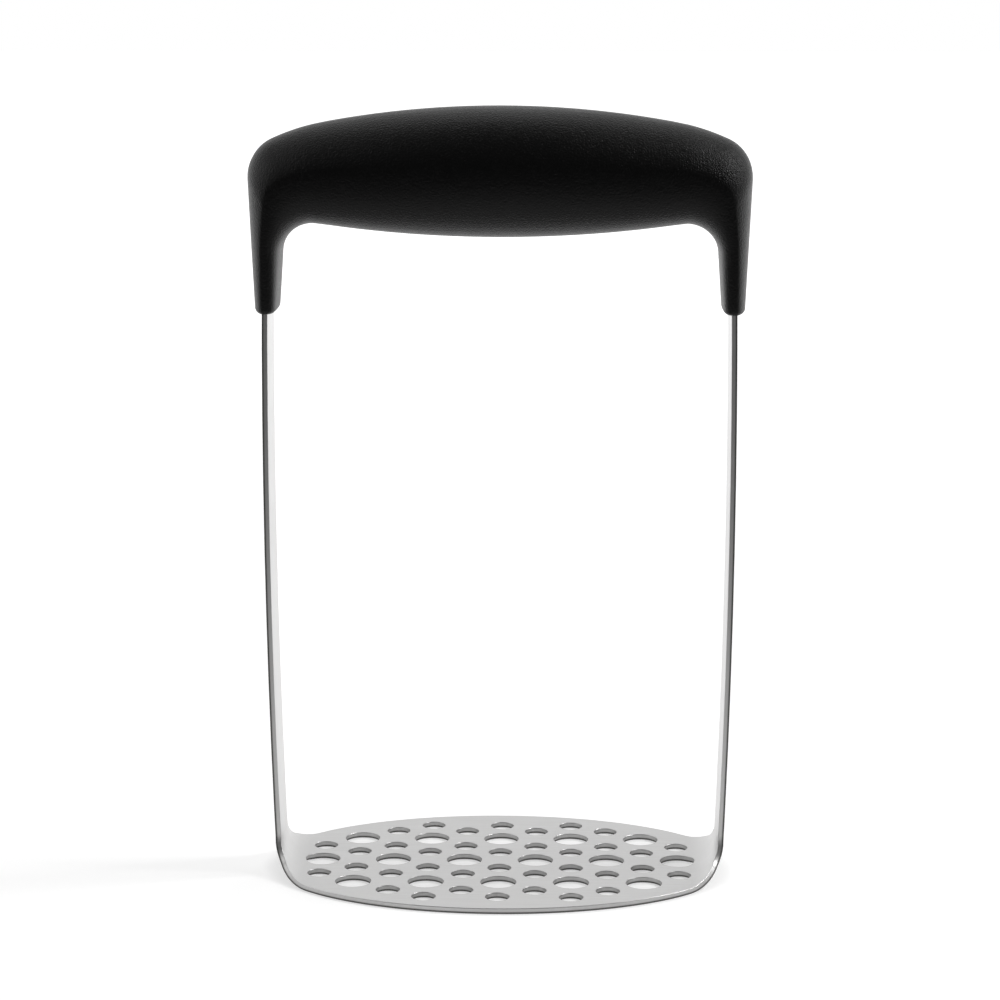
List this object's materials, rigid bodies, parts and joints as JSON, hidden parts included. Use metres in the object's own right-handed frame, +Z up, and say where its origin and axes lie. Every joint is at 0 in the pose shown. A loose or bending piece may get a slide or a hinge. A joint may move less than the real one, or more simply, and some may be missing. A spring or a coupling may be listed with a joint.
{
  "type": "potato masher",
  "caption": "Hand masher: a perforated oval steel plate with two upturned side straps that stand in the legs of a soft-grip bow handle.",
  "frame": {"origin": "on the ground plane under the middle of the perforated plate, which is also the bottom centre of the bounding box", "axes": "+X runs along the grip from strap to strap, +Y is from the front to the back, +Z is up from the plate to the grip"},
  "size_m": [0.1236, 0.075, 0.1933],
  "materials": {
    "blade_steel": "fine brushed stainless sheet with deburred stamped edges",
    "grip_rubber": "matte black soft-touch moulded rubber",
    "core_plastic": "as moulded, hidden under the rubber",
    "pin_steel": "plain ground pin, hidden in the handle"
  },
  "bodies": {
    "root": {"masher_blade": "blade_steel", "soft_grip": "grip_rubber", "handle_core_lower": "core_plastic", "handle_core_upper": "core_plastic", "strap_pin_left": "pin_steel", "strap_pin_right": "pin_steel"}
  },
  "joints": []
}
